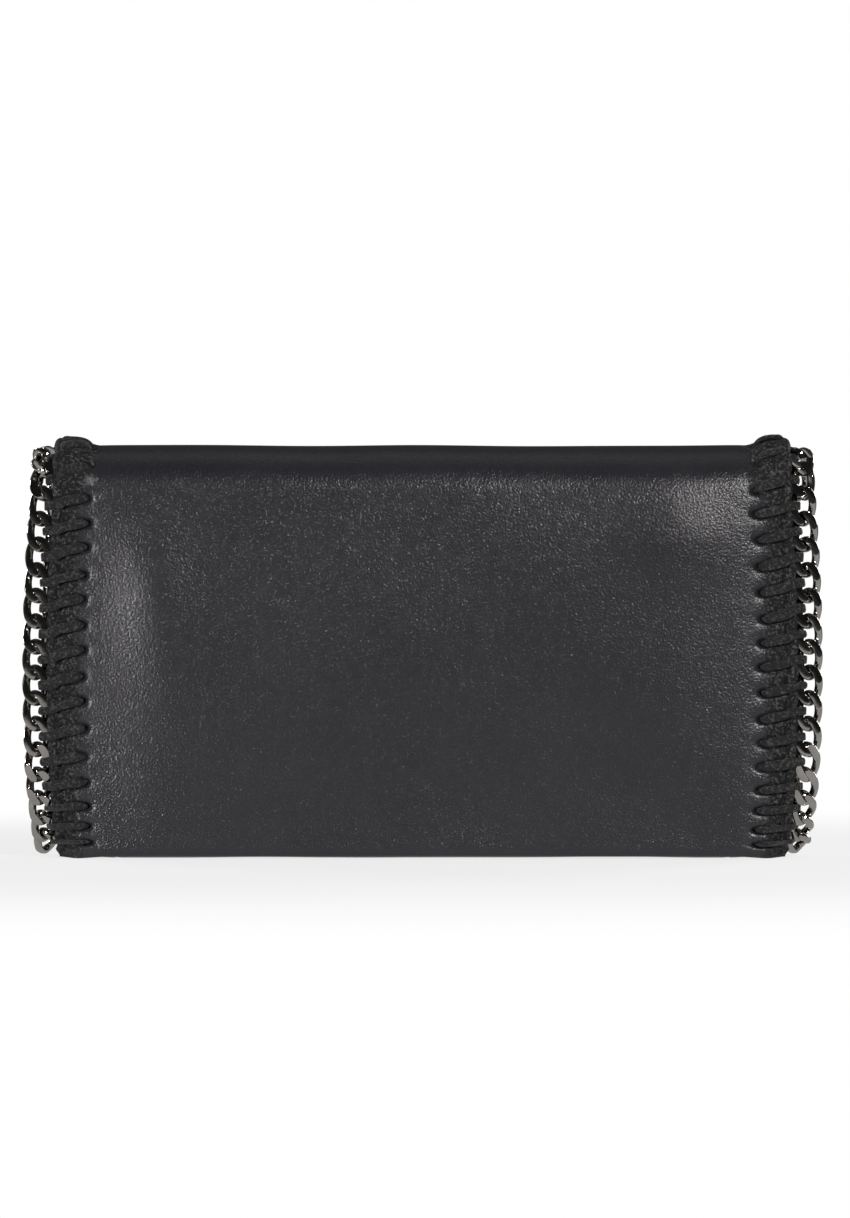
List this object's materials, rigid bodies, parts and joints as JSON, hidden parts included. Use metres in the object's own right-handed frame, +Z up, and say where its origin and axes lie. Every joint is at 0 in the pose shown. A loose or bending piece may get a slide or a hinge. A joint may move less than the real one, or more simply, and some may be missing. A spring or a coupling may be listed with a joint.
{
  "type": "chain wallet",
  "caption": "Long flap wallet in soft black leather, its flap edges whip-stitched with suede lace to a flat curb chain; card pockets and a zipped coin pocket inside.",
  "frame": {"origin": "centre of the wallet's box, on the surface that its base stands on", "axes": "+X along the width to the right, +Y from the flap to the back, +Z up to the fold"},
  "size_m": [0.19, 0.0249, 0.0992],
  "materials": {
    "shell_leather": "soft matt grained",
    "body_leather": "matt",
    "lining_fabric": "fine woven",
    "board": "plain",
    "suede_lace": "suede",
    "chain_metal": "polished gunmetal",
    "snap_metal": "satin gunmetal",
    "zip_metal": "polished gunmetal",
    "zip_fabric": "woven tape"
  },
  "bodies": {
    "shell": {"back_panel": "shell_leather", "back_stiffener": "board", "back_lining": "lining_fabric", "base_panel": "shell_leather", "rear_card_pockets": "body_leather", "gusset_rear_left": "body_leather", "gusset_rear_right": "body_leather"},
    "fold_1": {"fold_leather_1": "shell_leather", "fold_lining_1": "lining_fabric", "fold_chain_1": "chain_metal", "fold_laces_1": "suede_lace"},
    "fold_2": {"fold_leather_2": "shell_leather", "fold_lining_2": "lining_fabric", "fold_chain_2": "chain_metal", "fold_laces_2": "suede_lace"},
    "fold_3": {"fold_leather_3": "shell_leather", "fold_lining_3": "lining_fabric", "fold_chain_3": "chain_metal", "fold_laces_3": "suede_lace"},
    "fold_4": {"fold_leather_4": "shell_leather", "fold_lining_4": "lining_fabric", "fold_chain_4": "chain_metal", "fold_laces_4": "suede_lace"},
    "fold_5": {"fold_leather_5": "shell_leather", "fold_lining_5": "lining_fabric", "fold_chain_5": "chain_metal", "fold_laces_5": "suede_lace"},
    "flap": {"flap_leather": "shell_leather", "flap_lining": "lining_fabric", "snap_socket": "snap_metal", "chain_left": "chain_metal", "chain_right": "chain_metal", "laces_left": "suede_lace", "laces_right": "suede_lace", "edge_cord_left": "shell_leather", "edge_cord_right": "shell_leather"},
    "coin_section": {"coin_front_wall": "lining_fabric", "coin_rear_wall": "lining_fabric", "coin_sides": "lining_fabric", "coin_floor": "lining_fabric", "zip_tape_front": "zip_fabric", "zip_tape_rear": "zip_fabric", "zip_teeth_front": "zip_metal", "zip_teeth_rear": "zip_metal", "zip_stops": "zip_metal", "gusset_front_left": "body_leather", "gusset_front_right": "body_leather"},
    "front_section": {"front_panel": "body_leather", "front_lining": "lining_fabric", "front_card_pockets": "body_leather", "snap_stud": "snap_metal"},
    "slider": {"zip_slider": "zip_metal"},
    "pull": {"zip_pull": "zip_metal"}
  },
  "joints": [
    {"name": "flap_open", "type": "hinge", "parent": "shell", "child": "fold_1", "pos_m": [0, 0.01007, 0.087], "axis": [-1, 0, 0], "range_deg": [0, 18]},
    {"name": "fold_bend_1", "type": "hinge", "parent": "fold_1", "child": "fold_2", "pos_m": [0, 0.00818, 0.0928], "axis": [-1, 0, 0], "range_deg": [0, 36]},
    {"name": "fold_bend_2", "type": "hinge", "parent": "fold_2", "child": "fold_3", "pos_m": [0, 0.00325, 0.09639], "axis": [-1, 0, 0], "range_deg": [0, 36]},
    {"name": "fold_bend_3", "type": "hinge", "parent": "fold_3", "child": "fold_4", "pos_m": [0, -0.00285, 0.09639], "axis": [-1, 0, 0], "range_deg": [0, 36]},
    {"name": "fold_bend_4", "type": "hinge", "parent": "fold_4", "child": "fold_5", "pos_m": [0, -0.00779, 0.0928], "axis": [-1, 0, 0], "range_deg": [0, 36]},
    {"name": "fold_bend_5", "type": "hinge", "parent": "fold_5", "child": "flap", "pos_m": [0, -0.00967, 0.087], "axis": [-1, 0, 0], "range_deg": [0, 18]},
    {"name": "coin_section_tilt", "type": "hinge", "parent": "shell", "child": "coin_section", "pos_m": [0, -0.007, 0.004], "axis": [1, 0, 0], "range_deg": [0, 8], "deforming": ["gusset_rear_left", "gusset_rear_right"]},
    {"name": "front_section_tilt", "type": "hinge", "parent": "coin_section", "child": "front_section", "pos_m": [0, -0.007, 0.004], "axis": [1, 0, 0], "range_deg": [0, 8], "deforming": ["gusset_front_left", "gusset_front_right"]},
    {"name": "zip_slide", "type": "slide", "parent": "coin_section", "child": "slider", "axis": [1, 0, 0], "range_m": [0, 0.138]},
    {"name": "pull_swing", "type": "hinge", "parent": "slider", "child": "pull", "pos_m": [-0.068, 0.00105, 0.07525], "axis": [0, 1, 0], "range_deg": [0, 180]}
  ],
  "couplings": [
    {"joint": "fold_bend_1", "follows": "flap_open", "ratio": 2},
    {"joint": "fold_bend_2", "follows": "flap_open", "ratio": 2},
    {"joint": "fold_bend_3", "follows": "flap_open", "ratio": 2},
    {"joint": "fold_bend_4", "follows": "flap_open", "ratio": 2},
    {"joint": "fold_bend_5", "follows": "flap_open", "ratio": 1},
    {"joint": "coin_section_tilt", "follows": "flap_open", "ratio": 0.44444},
    {"joint": "front_section_tilt", "follows": "flap_open", "ratio": 0.44444}
  ]
}
